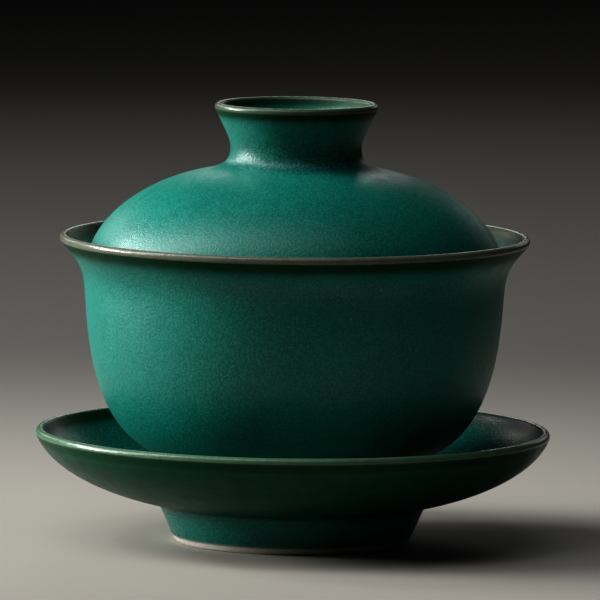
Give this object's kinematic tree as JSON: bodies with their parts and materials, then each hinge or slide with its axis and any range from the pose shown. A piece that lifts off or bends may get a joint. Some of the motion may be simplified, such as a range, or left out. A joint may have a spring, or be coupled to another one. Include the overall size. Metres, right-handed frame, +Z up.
{
  "type": "gaiwan",
  "caption": "Handleless tea bowl with a flared lip, standing in a footed saucer and closed by a domed lid with a hollow flared knob. The lid and the bowl lift off.",
  "frame": {"origin": "centre of the saucer's foot, on the surface that it stands on", "axes": "+Z up along the common axis of saucer, bowl and lid; the set is round, so X and Y are any two level directions"},
  "size_m": [0.1096, 0.1096, 0.0937],
  "materials": {
    "green_glaze": "satin-matte deep green glaze with a fine speckle, thin and khaki brown on the edges, with bare off-white clay under the feet"
  },
  "bodies": {
    "saucer": {"saucer": "green_glaze"},
    "bowl": {"bowl": "green_glaze"},
    "lid": {"lid": "green_glaze"}
  },
  "joints": [
    {"name": "bowl_lift", "type": "slide", "parent": "saucer", "child": "bowl", "axis": [0, 0, 1], "range_m": [0, 0.06]},
    {"name": "lid_lift", "type": "slide", "parent": "bowl", "child": "lid", "axis": [0, 0, 1], "range_m": [0, 0.06]}
  ]
}
